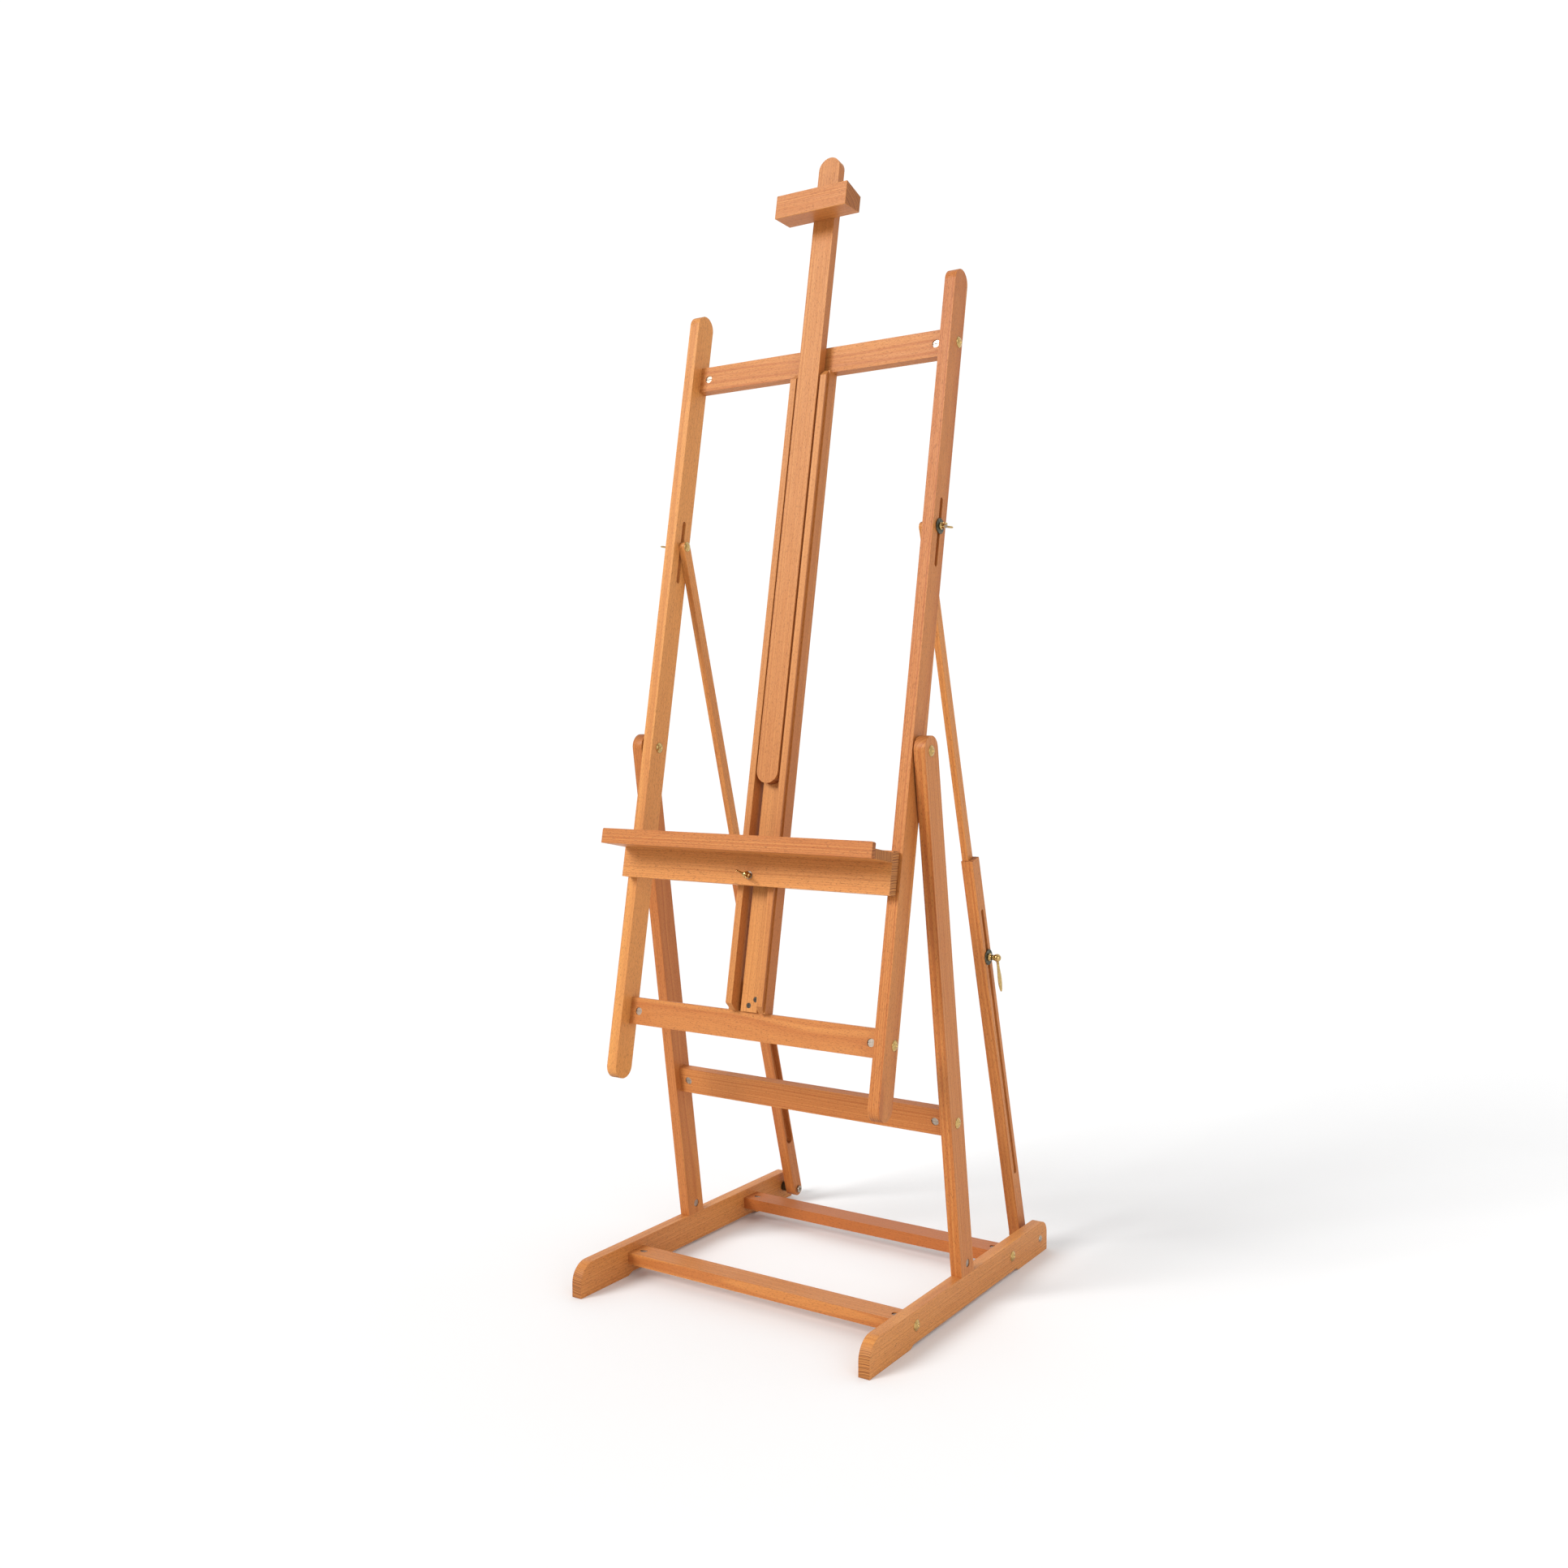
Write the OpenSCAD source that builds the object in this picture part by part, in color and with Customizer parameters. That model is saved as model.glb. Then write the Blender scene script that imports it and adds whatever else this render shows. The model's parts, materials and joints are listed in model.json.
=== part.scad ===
// Convertible studio easel in oiled beech with brass fittings.
// Millimetres, +Z up, +X to the painter's right, the canvas side faces -Y.
// Z = 0 is the floor; X = 0, Y = 0 is the middle of the feet.
// Three tilted part frames are used. In the easel frame local z runs up the
// uprights and local y goes back from their centre line; the leg frame and
// the strut frame follow the legs and the struts in the same way.

/* [Base] */
// width over the outer faces of the feet
base_w = 600; // [480:5:760]
// length of a foot, front to back
foot_len = 671; // [580:1:820]
// height of a foot
foot_h = 58; // [50:1:70]
// thickness of a foot
foot_t = 20; // [18:0.5:24]
// height of the relief under the middle of a foot
foot_relief = 5; // [3:0.5:8]
// length of the front floor pad
pad_front = 130; // [90:1:180]
// length of the rear floor pad
pad_rear = 127; // [90:1:180]
// depth of a base rail, front to back
base_rail_d = 45; // [36:1:60]
// thickness of a base rail
base_rail_t = 21; // [16:1:26]
// front rail centre, behind the tip of the feet
rail_front_pos = 151.5; // [120:0.5:200]
// rear rail centre, in front of the heel of the feet
rail_rear_pos = 153; // [110:1:200]

/* [Legs] */
// thickness of legs and uprights
stock_t = 20.5; // [18:0.5:24]
// depth of a leg
leg_d = 45.5; // [40:0.5:55]
// forward lean of the legs, degrees
leg_lean = 8.6; // [0:0.1:12]
// height of the tilt axis above the floor
pivot_h = 957; // [850:1:1100]
// tilt axis behind the tip of the feet
pivot_pos = 199.5; // [180:0.5:240]
// height of the leg crossbar's lower edge, along the leg from the axis
leg_bar_drop = 659.5; // [620:0.5:700]

/* [Tilting frame] */
// depth of an upright
upright_d = 44; // [38:1:55]
// upright length above the tilt axis
upright_up = 820; // [740:5:900]
// upright length below the tilt axis
upright_down = 594; // [540:2:600]
// backward tilt of the frame as shown, degrees
tilt_rest = 10.8; // [0:0.1:20]
// height of a crossbar
cross_h = 47; // [36:1:60]
// thickness of a crossbar
cross_t = 18; // [15:0.5:20]
// top crossbar's lower edge, above the axis
top_bar_pos = 673.5; // [600:0.5:700]
// bottom crossbar's upper edge, below the axis
low_bar_pos = 450; // [400:1:480]
// washer gap between a leg and an upright
tilt_gap = 3; // [2:0.5:5]

/* [Centre channel] */
// width over the guide rails
channel_w = 75; // [70:1:90]
// width of a guide rail's front face
rail_face = 12.5; // [10:0.5:16]
// width of the centre board
board_w = 33; // [28:1:38]
// thickness of the centre board
board_t = 18; // [12:0.5:22]

/* [Mast] */
// mast width
mast_w = 43; // [36:0.5:44]
// mast thickness
mast_t = 17.5; // [14:0.5:18]
// mast top above the tilt axis
mast_top = 1071; // [1000:1:1200]
// mast foot below the tilt axis
mast_bottom = 62; // [40:1:80]
// width of the canvas clamp
clamp_w = 146; // [110:2:200]
// height of the canvas clamp's front face
clamp_h = 43; // [34:1:56]
// depth of the canvas clamp
clamp_d = 48; // [36:1:64]

/* [Shelf] */
// length of the shelf
shelf_w = 544; // [420:2:640]
// lip height
lip_h = 26; // [20:1:40]
// lip thickness
lip_t = 10; // [8:0.5:16]
// depth of the shelf board between lip and support
shelf_d = 57; // [40:1:90]
// thickness of the shelf board
shelf_t = 16; // [12:0.5:20]
// height of the support board
support_h = 71; // [60:1:90]
// thickness of the support board
support_t = 20.5; // [16:0.5:24]
// underside of the shelf, below the tilt axis
shelf_pos = 187; // [180:1:260]

/* [Struts] */
// strut bar width
bar_d = 19; // [16:0.5:22]
// strut bar thickness
bar_t = 12; // [10:0.5:13]
// sleeve depth
sleeve_d = 27; // [25:0.5:32]
// sleeve width across the easel
sleeve_t = 22; // [20:0.5:24]
// sleeve length above its bolt
sleeve_up = 762; // [700:2:800]
// strut bolt height above the tilt axis, along the upright
strut_u = 375.5; // [350:0.5:400]
// strut foot bolt, in front of the heel of the feet
strut_heel = 30.5; // [28:0.5:40]
// strut foot bolt height
strut_foot_h = 28.5; // [24:0.5:34]
// bar end to the sleeve's bolt, as shown
bar_low = 545; // [520:1:560]

/* [Fittings] */
// bolt shank diameter
bolt_d = 8; // [6:0.5:8]
// domed bolt head diameter
head_d = 19; // [16:0.5:22]
// domed bolt head height
head_h = 4; // [3:0.5:5]
// barrel nut diameter
nut_d = 13.5; // [12:0.5:15]
// large dark washer diameter
washer_d = 28; // [24:0.5:32]
// dark washer thickness
washer_t = 2; // [1.5:0.1:3]
// countersunk screw head diameter
screw_d = 9; // [7:0.5:10]

/* [Hidden] */
$fn = 48;

// clearances
fit = 0.2;       // around bolts and screws that stay put
turn = 0.1;      // radial, around pins that turn or slide
gap = 0.3;       // between faces that move over each other
through = 1;     // how far a cut runs past a face

// base
half_w = base_w / 2;
foot_in = half_w - foot_t;
foot_y0 = -foot_len / 2;
foot_y1 = foot_len / 2;
toe_r = 34;
heel_r = 26;
ramp = 12;
rail_z0 = 22;
bolt_z = rail_z0 + base_rail_t / 2;
rail_yf = foot_y0 + rail_front_pos;
rail_yr = foot_y1 - rail_rear_pos;
nut_in = 18.5;   // barrel nut centre to the end of its rail
nut_sunk = 1.5;  // barrel nut face below the wood
bolt_r = bolt_d / 2;
hole_r = bolt_r + fit;
nut_r = nut_d / 2;

// legs
pivot_y = foot_y0 + pivot_pos;
leg_out = half_w;
leg_in = half_w - stock_t;
leg_top = 25;    // leg height above the tilt axis
leg_run = (pivot_h - foot_h) / cos(leg_lean);
leg_bar_q = 1.7; // crossbar centre behind the leg's centre line
foot_nut = 19;   // leg barrel nut above the foot
foot_bolt_d = 6;

// tilting frame
up_out = leg_in - tilt_gap;
up_in = up_out - stock_t;
cross_v = upright_d / 2 - 2.7 - cross_t / 2;
top_bar_u = top_bar_pos + cross_h / 2;
low_bar_u = -low_bar_pos - cross_h / 2;
slot_w = 9;
slot_u0 = 307;
slot_u1 = 424;

// channel: v is the depth behind the uprights' centre line
ch = channel_w / 2;
rail_in = ch - rail_face;
rail_v0 = -20.7;
board_v0 = -4;
ch_v1 = board_v0 + board_t;
groove_v = rail_v0 + 11;  // ledge of the claw groove
groove_in = 3.5;
rail_step = rail_in - 1.8;
bevel = 12;
ch_u0 = -low_bar_pos;
ch_u1 = top_bar_pos;
cleat_t = 10;
cleat_h = 50;
rail_lap = 3.8;    // how far a cleat reaches behind each rail
cleat_w = 2 * (rail_step + rail_lap);
dowel_d = 8;
dowel_len = 36;
rail_mid = (rail_step + ch) / 2;
rail_dowel_v = (groove_v + ch_v1) / 2;
cross_v0 = cross_v - cross_t / 2;
dowel_v = max(rail_dowel_v, cross_v0 + dowel_d / 2 + 1.5);
screw_r = 2;

// mast
mast_v0 = board_v0 - fit - mast_t;
mast_v1 = mast_v0 + mast_t;
run_t = 4;
run_x1 = mast_w / 2 - 0.2;
run_x0 = run_x1 - run_t;
run_u0 = -mast_bottom + 4;
run_u1 = run_u0 + 100;
keeper_v = ch_v1 + 2;
keeper_t = 8;
keeper_w = 60;
keeper_u0 = run_u0 + 18;
keeper_h = 70;
lock_u = keeper_u0 + keeper_h / 2;
clamp_top = mast_top - 83;
clamp_slope = 7;

// shelf
sup_v1 = -24.5;
sup_v0 = sup_v1 - support_t;
lip_v1 = sup_v0 - shelf_d;
shelf_u0 = -shelf_pos;
sup_u1 = shelf_u0 + shelf_t + 3;
sup_u0 = sup_u1 - support_h;
knob_u = sup_u0 + 17;
claw_h = 64;
claw_x1 = 60;
lip_r = 3;
insert_d = 14;

// struts
bar_x1 = up_in - 0.5;
bar_x0 = bar_x1 - bar_t;
sleeve_x0 = bar_x0;
sleeve_x1 = sleeve_x0 + sleeve_t;
strut_foot_y = foot_y1 - strut_heel;
top_y = pivot_y + strut_u * sin(tilt_rest);
top_z = pivot_h + strut_u * cos(tilt_rest);
dy = strut_foot_y - top_y;
dz = top_z - strut_foot_h;
strut_len = sqrt(dy * dy + dz * dz);
strut_lean = atan(dy / dz);
// rounded end of the bar, on a quarter millimetre about the top bolt
bar_high = round(strut_len * 4) / 4 + bar_d / 2;
groove_end = 118;  // end of the straight groove above the foot bolt
sl_slot0 = 134;
sl_slot1 = 667;
sl_slot_w = 9;
lever_s = bar_low + 30;
ball_d = 14;
ball_x = 18;       // ball centre outside the sleeve

module easel_frame() {
  translate([0, pivot_y, pivot_h]) rotate([-tilt_rest, 0, 0]) children();
}

module leg_frame() {
  translate([0, pivot_y, pivot_h]) rotate([leg_lean, 0, 0]) children();
}

module strut_frame() {
  translate([0, strut_foot_y, strut_foot_h]) rotate([strut_lean, 0, 0]) children();
}

// both sides, mirrored
module both() {
  children();
  mirror([1, 0, 0]) children();
}

// rod along +X from x0 to x1
module rod_x(r, x0, x1) {
  translate([x0, 0, 0]) rotate([0, 90, 0]) cylinder(r = r, h = x1 - x0);
}

// rod along +Y from y0 to y1
module rod_y(r, y0, y1) {
  translate([0, y0, 0]) rotate([-90, 0, 0]) cylinder(r = r, h = y1 - y0);
}

// side profile drawn as [y, z] and given a thickness from x0 to x1
module slab_x(x0, x1) {
  translate([x0, 0, 0]) rotate([90, 0, 90]) linear_extrude(x1 - x0) children();
}

// flat bar with rounded ends in the [a, b] plane, b from b0 to b1
module stadium(w, b0, b1) {
  translate([-w / 2, b0 + w / 2]) square([w, b1 - b0 - w]);
  translate([0, b0 + w / 2]) circle(d = w);
  translate([0, b1 - w / 2]) circle(d = w);
}

// shallow dome on the plane x = 0, rising to +X
module dome(d, h) {
  r = (h * h + d * d / 4) / (2 * h);
  intersection() {
    translate([h - r, 0, 0]) sphere(r = r, $fn = 64);
    rod_x(d / 2, 0, h + 1);
  }
}

// bolt along -X from a domed head that sits on the plane x = 0
module domed_bolt(len) {
  dome(head_d, head_h);
  rod_x(bolt_r, -len, 0.5);
}

// ---- base ----

module foot_profile() {
  difference() {
    union() {
      translate([foot_y0, 0]) square([foot_len, foot_h - toe_r]);
      translate([foot_y0 + toe_r, 0]) square([foot_len - toe_r - heel_r, foot_h]);
      intersection() {
        translate([foot_y0 + toe_r, foot_h - toe_r]) circle(r = toe_r);
        translate([foot_y0, 0]) square([2 * toe_r, foot_h]);
      }
      translate([foot_y1 - heel_r, foot_h - heel_r]) circle(r = heel_r);
      translate([foot_y1 - heel_r, 0]) square([heel_r, foot_h - heel_r]);
    }
    polygon([[foot_y0 + pad_front, -through], [foot_y0 + pad_front, 0],
      [foot_y0 + pad_front + ramp, foot_relief],
      [foot_y1 - pad_rear - ramp, foot_relief],
      [foot_y1 - pad_rear, 0], [foot_y1 - pad_rear, -through]]);
  }
}

leg_foot_y = pivot_y + leg_run * sin(leg_lean);
module foot() {
  difference() {
    slab_x(foot_in, half_w) foot_profile();
    for (y = [rail_yf, rail_yr])
      translate([0, y, bolt_z]) rod_x(hole_r, foot_in - through, half_w + through);
    translate([0, strut_foot_y, strut_foot_h])
      rod_x(hole_r, foot_in - through, half_w + through);
    leg_bolt_hole();
  }
}

// hole for the bolt that rises through the foot into the leg
module leg_bolt_hole() {
  translate([half_w - foot_t / 2, leg_foot_y, -through]) {
    cylinder(d = foot_bolt_d + 2 * fit, h = foot_h + foot_nut + nut_r + 4 + through);
    cylinder(d = 12, h = foot_relief + 12 + through);
  }
}

module foot_right() { color("#c98a55") foot(); }
module foot_left() { color("#c98a55") mirror([1, 0, 0]) foot(); }

module base_rail(y) {
  difference() {
    translate([-foot_in, y - base_rail_d / 2, rail_z0])
      cube([2 * foot_in, base_rail_d, base_rail_t]);
    both() translate([0, y, 0]) {
      translate([0, 0, bolt_z]) rod_x(hole_r, foot_in - nut_in - nut_r - 4, foot_in + through);
      translate([foot_in - nut_in, 0, rail_z0 + 4])
        cylinder(r = nut_r + fit, h = base_rail_t);
    }
  }
}

module base_rail_front() { color("#c98a55") base_rail(rail_yf); }
module base_rail_rear() { color("#c98a55") base_rail(rail_yr); }

module leg() {
  difference() {
    leg_frame() slab_x(leg_in, leg_out) {
      translate([-leg_d / 2, -leg_run - leg_d])
        square([leg_d, leg_run + leg_d + leg_top - leg_d / 2]);
      translate([0, leg_top - leg_d / 2]) circle(d = leg_d);
    }
    translate([leg_in - through, -foot_len, -leg_d * 2])
      cube([stock_t + 2 * through, 2 * foot_len, foot_h + leg_d * 2]);
    leg_frame() {
      rod_x(hole_r, leg_in - through, leg_out + through);
      translate([0, leg_bar_q, -leg_bar_drop + cross_h / 2])
        rod_x(hole_r, leg_in - through, leg_out + through);
    }
    leg_bolt_hole();
    translate([0, leg_foot_y, foot_h + foot_nut])
      rod_x(nut_r + fit, leg_in - through, leg_out + through);
  }
}

module leg_right() { color("#c98a55") leg(); }
module leg_left() { color("#c98a55") mirror([1, 0, 0]) leg(); }

module leg_crossbar() {
  color("#c98a55") leg_frame() difference() {
    translate([-leg_in, leg_bar_q - cross_t / 2, -leg_bar_drop])
      cube([2 * leg_in, cross_t, cross_h]);
    both() translate([0, leg_bar_q, -leg_bar_drop + cross_h / 2]) {
      rod_x(hole_r, leg_in - nut_in - nut_r - 4, leg_in + through);
      translate([leg_in - nut_in, 0, 0]) rod_y(nut_r + fit, -cross_t, cross_t / 2 - 3);
    }
  }
}

// barrel nut with a cross hole in the middle of a rail t thick; its axis is
// local y, face towards -y
module barrel_nut(len, t) {
  difference() {
    rod_y(nut_r, -len / 2, len / 2);
    translate([0, t / 2 - nut_sunk - len / 2, 0])
      rod_x(bolt_r + fit / 2, -nut_r - through, nut_r + through);
    translate([-nut_r, -len / 2 - through, -0.7]) cube([2 * nut_r, 1.2 + through, 1.4]);
  }
}

module base_bolts() {
  color("#d8b25a") both() {
    for (y = [rail_yf, rail_yr])
      translate([half_w, y, bolt_z]) domed_bolt(foot_t + nut_in + 8);
    leg_frame() translate([leg_out, leg_bar_q, -leg_bar_drop + cross_h / 2])
      domed_bolt(stock_t + nut_in + 8);
  }
}

rail_nut_len = base_rail_t - nut_sunk - 5;
leg_nut_len = cross_t - nut_sunk - 4;
module base_barrel_nuts() {
  color("#b89a5a") both() {
    for (y = [rail_yf, rail_yr])
      translate([foot_in - nut_in, y, rail_z0 + base_rail_t - nut_sunk - rail_nut_len / 2])
        rotate([90, 0, 0]) mirror([0, 1, 0]) barrel_nut(rail_nut_len, base_rail_t);
    leg_frame() translate([leg_in - nut_in, leg_bar_q - cross_t / 2 + nut_sunk + leg_nut_len / 2,
      -leg_bar_drop + cross_h / 2]) barrel_nut(leg_nut_len, cross_t);
    translate([half_w - stock_t / 2, leg_foot_y, foot_h + foot_nut]) difference() {
      rod_x(nut_r, -stock_t / 2 + nut_sunk, stock_t / 2 - nut_sunk);
      translate([(stock_t - foot_t) / 2, 0, -nut_r - through])
        cylinder(d = foot_bolt_d + fit, h = 2 * nut_r + 2 * through);
    }
  }
}

module leg_foot_bolts() {
  color("#6a6a66") both() translate([half_w - foot_t / 2, leg_foot_y, foot_relief + 5]) {
    difference() {
      cylinder(d = 11, h = 6);
      translate([0, 0, -through]) cylinder(d = 5, h = 4 + through, $fn = 6);
    }
    cylinder(d = foot_bolt_d, h = foot_h + foot_nut + nut_r - foot_relief - 3);
  }
}

// bolt through leg and upright, with a domed cap at each end
module tilt_bolts() {
  color("#d8b25a") both() translate([0, pivot_y, pivot_h]) {
    translate([leg_out, 0, 0]) domed_bolt(leg_out - up_in + gap);
    translate([up_in - gap, 0, 0]) mirror([1, 0, 0]) dome(head_d, head_h);
  }
}

module tilt_washers() {
  color("#55564a") both() translate([0, pivot_y, pivot_h]) difference() {
    rod_x(head_d / 2 + 3, up_out + gap, leg_in);
    rod_x(hole_r, up_out - through, leg_in + through);
  }
}

module strut_spacers() {
  color("#55564a") both() translate([0, strut_foot_y, strut_foot_h]) difference() {
    rod_x(head_d / 2, sleeve_x1 + gap, foot_in);
    rod_x(hole_r, sleeve_x1 - through, foot_in + through);
  }
}

// socket bolt: ring head on the inner side, rounded end outside the foot
module strut_foot_bolts() {
  color("#b89a5a") both() translate([0, strut_foot_y, strut_foot_h]) {
    difference() {
      rod_x(head_d / 2 - 2.5, sleeve_x0 - gap - 4, sleeve_x0 - gap);
      rod_x(3, sleeve_x0 - gap - 4 - through, sleeve_x0 - gap - 1.5);
    }
    rod_x(bolt_r, sleeve_x0 - gap - 1, half_w + 1);
    translate([half_w, 0, 0]) dome(head_d - 7, head_h - 1);
  }
}

// ---- tilting frame ----

module upright() {
  easel_frame() difference() {
    slab_x(up_in, up_out) stadium(upright_d, -upright_down, upright_up);
    rod_x(bolt_r + turn, up_in - through, up_out + through);
    for (u = [top_bar_u, low_bar_u])
      translate([0, cross_v, u]) rod_x(hole_r, up_in - through, up_out + through);
    slab_x(up_in - through, up_out + through) stadium(slot_w, slot_u0, slot_u1);
  }
}

module upright_right() { color("#c98a55") upright(); }
module upright_left() { color("#c98a55") mirror([1, 0, 0]) upright(); }

// end: +1 when the channel meets the bar's lower edge, -1 its upper edge
module frame_crossbar(u, end) {
  easel_frame() difference() {
    translate([-up_in, cross_v0, u - cross_h / 2]) cube([2 * up_in, cross_t, cross_h]);
    both() translate([0, cross_v, u]) {
      rod_x(hole_r, up_in - nut_in - nut_r - 4, up_in + through);
      translate([up_in - nut_in, 0, 0]) rod_y(nut_r + fit, -cross_t, cross_t / 2 - 3);
    }
    both() translate([rail_mid, dowel_v, u - end * cross_h / 2])
      translate([0, 0, -dowel_len / 2]) cylinder(d = dowel_d + fit, h = dowel_len);
  }
}

module top_crossbar() { color("#c98a55") frame_crossbar(top_bar_u, 1); }
module bottom_crossbar() { color("#c98a55") frame_crossbar(low_bar_u, -1); }

module frame_bolts() {
  color("#d8b25a") easel_frame() both() for (u = [top_bar_u, low_bar_u])
    translate([up_out, cross_v, u]) domed_bolt(stock_t + nut_in + 8);
}

module frame_barrel_nuts() {
  color("#b89a5a") easel_frame() both() for (u = [top_bar_u, low_bar_u])
    translate([up_in - nut_in, cross_v0 + nut_sunk + leg_nut_len / 2, u])
      barrel_nut(leg_nut_len, cross_t);
}

board_end = 0.3;
module channel_board() {
  color("#d09560") easel_frame() difference() {
    translate([-board_w / 2, board_v0, ch_u0 + board_end])
      cube([board_w, board_t, ch_u1 - ch_u0 - 2 * board_end]);
    channel_screw_sites(board_v0) {
      rod_y(screw_r + fit, -through, board_t + through);
      rod_y(screw_d / 2 + fit, -through, 2);
    }
  }
}

// places children at the screws that hold board and rails to the cleats
module channel_screw_sites(v) {
  for (p = [[-1, 11], [12, 22]]) {
    translate([p[0], v, ch_u0 + p[1]]) children();
    translate([p[0], v, ch_u1 - p[1]]) children();
  }
}

module guide_rail_profile() {
  polygon([[rail_in, rail_v0], [ch, rail_v0], [ch - groove_in, groove_v],
    [ch, groove_v], [ch, ch_v1], [rail_step, ch_v1], [rail_step, board_v0]]);
}

module guide_rail() {
  easel_frame() difference() {
    translate([0, 0, ch_u0 + board_end])
      linear_extrude(ch_u1 - ch_u0 - 2 * board_end) guide_rail_profile();
    slab_x(rail_step - through, ch + through) {
      polygon([[rail_v0 - through, ch_u0 - through],
        [rail_v0 - through, ch_u0 + bevel + through], [rail_v0 + bevel, ch_u0],
        [rail_v0 + bevel, ch_u0 - through]]);
      polygon([[rail_v0 - through, ch_u1 + through],
        [rail_v0 - through, ch_u1 - bevel - through], [rail_v0 + bevel, ch_u1],
        [rail_v0 + bevel, ch_u1 + through]]);
    }
    for (u = [ch_u0, ch_u1]) translate([rail_mid, dowel_v, u - dowel_len / 2])
      cylinder(d = dowel_d + fit, h = dowel_len);
  }
}

module guide_rail_right() { color("#d09560") guide_rail(); }
module guide_rail_left() { color("#d09560") mirror([1, 0, 0]) guide_rail(); }

module cleat(u) {
  easel_frame() difference() {
    translate([-cleat_w / 2, ch_v1, u]) cube([cleat_w, cleat_t, cleat_h]);
    channel_screw_sites(ch_v1) rod_y(screw_r + fit, -through, cleat_t + through);
  }
}

cross_clear = 1;
module channel_cleat_top() { color("#b87c4a") cleat(ch_u1 - cleat_h - cross_clear); }
module channel_cleat_bottom() { color("#b87c4a") cleat(ch_u0 + cross_clear); }

module channel_screws() {
  color("#3c3632") easel_frame() channel_screw_sites(board_v0) {
    difference() {
      rod_y(screw_d / 2, 0.3, 1.8);
      for (a = [0, 90]) rotate([0, a, 0]) translate([-2.2, -through, -0.5]) cube([4.4, 1 + through, 1]);
    }
    rod_y(screw_r, 1.5, board_t + cleat_t - 1);
  }
}

module channel_dowels() {
  color("#d8b888") easel_frame() both() for (u = [ch_u0, ch_u1])
    translate([rail_mid, dowel_v, u - dowel_len / 2 + 0.5]) cylinder(d = dowel_d, h = dowel_len - 1);
}

// ---- mast ----

module mast() {
  color("#d79a62") easel_frame() difference() {
    translate([0, mast_v1, 0]) rotate([90, 0, 0]) linear_extrude(mast_t)
      stadium(mast_w, -mast_bottom, mast_top);
    clamp_screw_sites() rod_y(screw_r + fit, -mast_t - through, through);
    clamp_screw_sites() rod_y(screw_d / 2 + fit, -2, through);
    runner_screw_sites() rod_y(screw_r + fit, mast_v1 - 12, mast_v1 + through);
  }
}

module clamp_screw_sites() {
  for (x = [-10, 10]) translate([x, mast_v1, clamp_top - clamp_h / 2]) children();
}

module runner_screw_sites() {
  for (u = [keeper_u0 + 10, keeper_u0 + keeper_h - 10], s = [-1, 1])
    translate([s * (run_x0 + run_x1) / 2, 0, u]) children();
}

runner_screw_r = 1;
module mast_runners() {
  color("#b87c4a") easel_frame() difference() {
    both() translate([run_x0, mast_v1, run_u0]) cube([run_t, keeper_v - mast_v1, run_u1 - run_u0]);
    runner_screw_sites() rod_y(runner_screw_r + fit, mast_v1 - through, keeper_v + through);
  }
}

module mast_keeper_plate() {
  color("#b87c4a") easel_frame() difference() {
    translate([-keeper_w / 2, keeper_v, keeper_u0]) cube([keeper_w, keeper_t, keeper_h]);
    runner_screw_sites() rod_y(runner_screw_r + fit, keeper_v - through, keeper_v + keeper_t + through);
    runner_screw_sites() rod_y(3.2, keeper_v + keeper_t - 2, keeper_v + keeper_t + through);
    translate([0, 0, lock_u]) rod_y(bolt_r + turn, keeper_v - through, keeper_v + keeper_t + through);
  }
}

module mast_screws() {
  color("#3c3632") easel_frame() {
    clamp_screw_sites() {
      rod_y(screw_d / 2, -1.8, -0.3);
      rod_y(screw_r, -mast_t - 20, -1);
    }
    runner_screw_sites() {
      rod_y(3, keeper_v + keeper_t - 1.8, keeper_v + keeper_t - 0.3);
      rod_y(runner_screw_r, mast_v1 - 10, keeper_v + keeper_t - 1);
    }
  }
}

module canvas_clamp() {
  v0 = mast_v0 - fit - clamp_d;
  u1 = clamp_top;
  color("#c98a55") easel_frame() difference() {
    slab_x(-clamp_w / 2, clamp_w / 2) polygon([[v0, u1 - clamp_h], [v0 + clamp_d, u1 - clamp_h + clamp_slope],
      [v0 + clamp_d, u1 - clamp_slope], [v0, u1]]);
    clamp_screw_sites() rod_y(screw_r + fit, -mast_t - 22, -mast_t + through);
  }
}

// wings in the local [x, y] plane, standing on y = 0 and rising to -y
module wings(span, h, t) {
  translate([0, 0, -t / 2]) linear_extrude(t) for (s = [-1, 1]) {
    polygon([[0, 0], [s * 4, 0], [s * (span / 2 - 5), -h + 9],
      [s * (span / 2 - 9), -h + 1.5], [0, -h * 0.55]]);
    translate([s * (span / 2 - 5), -h + 5]) circle(r = 5);
  }
}

wing_span = 34;
wing_h = 19;
wing_t = 3;
wing_turn = 25;  // the shelf's wings as they were left, off level
hub_d = 12;
hub_h = 9;
module wing_hub(r_hole) {
  difference() {
    union() {
      rod_y(hub_d / 2, -hub_h * 0.45, 0);
      translate([0, -hub_h * 0.45, 0]) rotate([90, 0, 0])
        cylinder(d1 = hub_d, d2 = hub_d - 3.5, h = hub_h * 0.55);
      translate([0, -2, 0]) wings(wing_span, wing_h - 2, wing_t);
    }
    if (r_hole > 0) rod_y(r_hole, -wing_h, through);
  }
}

module mast_lock_screw() {
  color("#d8b25a") easel_frame() translate([0, keeper_v + keeper_t + gap, lock_u]) {
    mirror([0, 1, 0]) wing_hub(0);
    rod_y(bolt_r, -keeper_t - gap - 1.6, 0.5);
  }
}

// ---- shelf ----

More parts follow.
